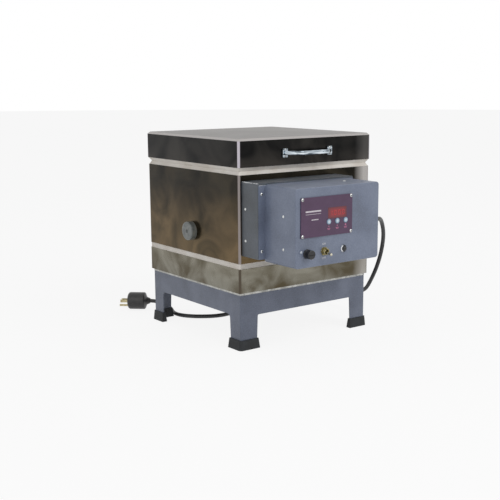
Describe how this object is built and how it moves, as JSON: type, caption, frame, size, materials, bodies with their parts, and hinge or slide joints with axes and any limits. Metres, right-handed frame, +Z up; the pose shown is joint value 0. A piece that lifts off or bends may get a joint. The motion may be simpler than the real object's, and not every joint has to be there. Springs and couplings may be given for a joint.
{
  "type": "top-loading electric kiln",
  "caption": "Small square top-loading electric kiln: firebrick chamber in a steel case, hinged lid with bow handle, front control box, peephole plug, sheet stand, power cord.",
  "frame": {"origin": "on the floor, midway between the peephole plug's head and the lid's right side, and midway between the toggle's tip and the hinge's back", "axes": "+Z up, -Y front where the control box and lid handle are, -X left where the peephole is"},
  "size_m": [0.4144, 0.6237, 0.409],
  "materials": {
    "stand_paint": "blue-grey hammertone",
    "foot_rubber": "matte",
    "galvanised": "dull galvanised",
    "firebrick": "matte, porous",
    "case_steel": "polished",
    "element_wire": "oxidised",
    "bush_ceramic": "matte",
    "box_paint": "blue-grey hammertone",
    "screw_steel": "zinc plated",
    "plate_purple": "satin",
    "window_red": "gloss",
    "board_green": "matte",
    "key_blue": "satin",
    "black_plastic": "satin",
    "fuse_glass": "gloss",
    "switch_metal": "polished",
    "lamp_clear": "gloss",
    "transformer_iron": "lacquered",
    "handle_chrome": "polished",
    "hinge_steel": "zinc plated",
    "cord_rubber": "matte",
    "blade_brass": "bright"
  },
  "bodies": {
    "case": {"stand": "stand_paint", "foot_caps": "foot_rubber", "base_pan": "galvanised", "floor_brick": "firebrick", "floor_band": "case_steel", "front_wall": "firebrick", "back_wall": "firebrick", "left_wall": "firebrick", "right_wall": "firebrick", "body_band": "case_steel", "heating_elements": "element_wire", "terminal_bushes": "bush_ceramic", "terminal_pins": "element_wire", "thermocouple_block": "bush_ceramic", "thermocouple_sheath": "element_wire", "control_base": "box_paint", "control_cover": "box_paint", "cover_screws": "screw_steel", "box_rivets": "screw_steel", "controller_plate": "plate_purple", "plate_screws": "screw_steel", "display_window": "window_red", "controller_board": "board_green", "fuse_holder": "black_plastic", "toggle_switch": "switch_metal", "toggle_nut": "screw_steel", "button_bezel": "switch_metal", "lamp": "lamp_clear", "relay": "black_plastic", "transformer": "transformer_iron", "terminal_block": "black_plastic", "body_hinge": "hinge_steel", "body_hinge_screws": "screw_steel", "hinge_pin": "hinge_steel", "strain_relief": "black_plastic", "power_cord": "cord_rubber", "plug_body": "cord_rubber", "plug_prongs": "blade_brass"},
    "lid": {"lid_brick": "firebrick", "lid_band": "case_steel", "lid_sheet": "case_steel", "lid_handle": "handle_chrome", "handle_screws": "screw_steel", "lid_hinge": "hinge_steel", "lid_hinge_screws": "screw_steel"},
    "peephole_plug": {"peephole_plug": "bush_ceramic"},
    "key_left": {"key_left": "key_blue"},
    "key_middle": {"key_middle": "key_blue"},
    "key_right": {"key_right": "key_blue"},
    "toggle_lever": {"toggle_lever": "switch_metal"},
    "push_button": {"push_button": "black_plastic"},
    "fuse_link": {"fuse_link": "fuse_glass"},
    "fuse_cap": {"fuse_cap": "black_plastic"}
  },
  "joints": [
    {"name": "lid_hinge", "type": "hinge", "parent": "case", "child": "lid", "pos_m": [0.0053, 0.24963, 0.3455], "axis": [-1, 0, 0], "range_deg": [0, 95]},
    {"name": "peephole_pull", "type": "slide", "parent": "case", "child": "peephole_plug", "axis": [-1, 0, 0], "range_m": [0, 0.08]},
    {"name": "key_left_press", "type": "slide", "parent": "case", "child": "key_left", "axis": [0, 1, 0], "range_m": [0, 0.001], "stiffness_N_per_m": 1500},
    {"name": "key_middle_press", "type": "slide", "parent": "case", "child": "key_middle", "axis": [0, 1, 0], "range_m": [0, 0.001], "stiffness_N_per_m": 1500},
    {"name": "key_right_press", "type": "slide", "parent": "case", "child": "key_right", "axis": [0, 1, 0], "range_m": [0, 0.001], "stiffness_N_per_m": 1500},
    {"name": "button_press", "type": "slide", "parent": "case", "child": "push_button", "axis": [0, 1, 0], "range_m": [0, 0.0025], "stiffness_N_per_m": 800},
    {"name": "toggle_throw", "type": "hinge", "parent": "case", "child": "toggle_lever", "pos_m": [-0.0723, -0.23477, 0.2073], "axis": [-1, 0, 0], "range_deg": [0, 22]},
    {"name": "fuse_pull", "type": "slide", "parent": "case", "child": "fuse_link", "axis": [0, -1, 0], "range_m": [0, 0.04]},
    {"name": "fuse_cap_turn", "type": "hinge", "parent": "fuse_link", "child": "fuse_cap", "pos_m": [-0.1122, -0.23627, 0.2063], "axis": [0, -1, 0], "range_deg": [0, 90]}
  ]
}
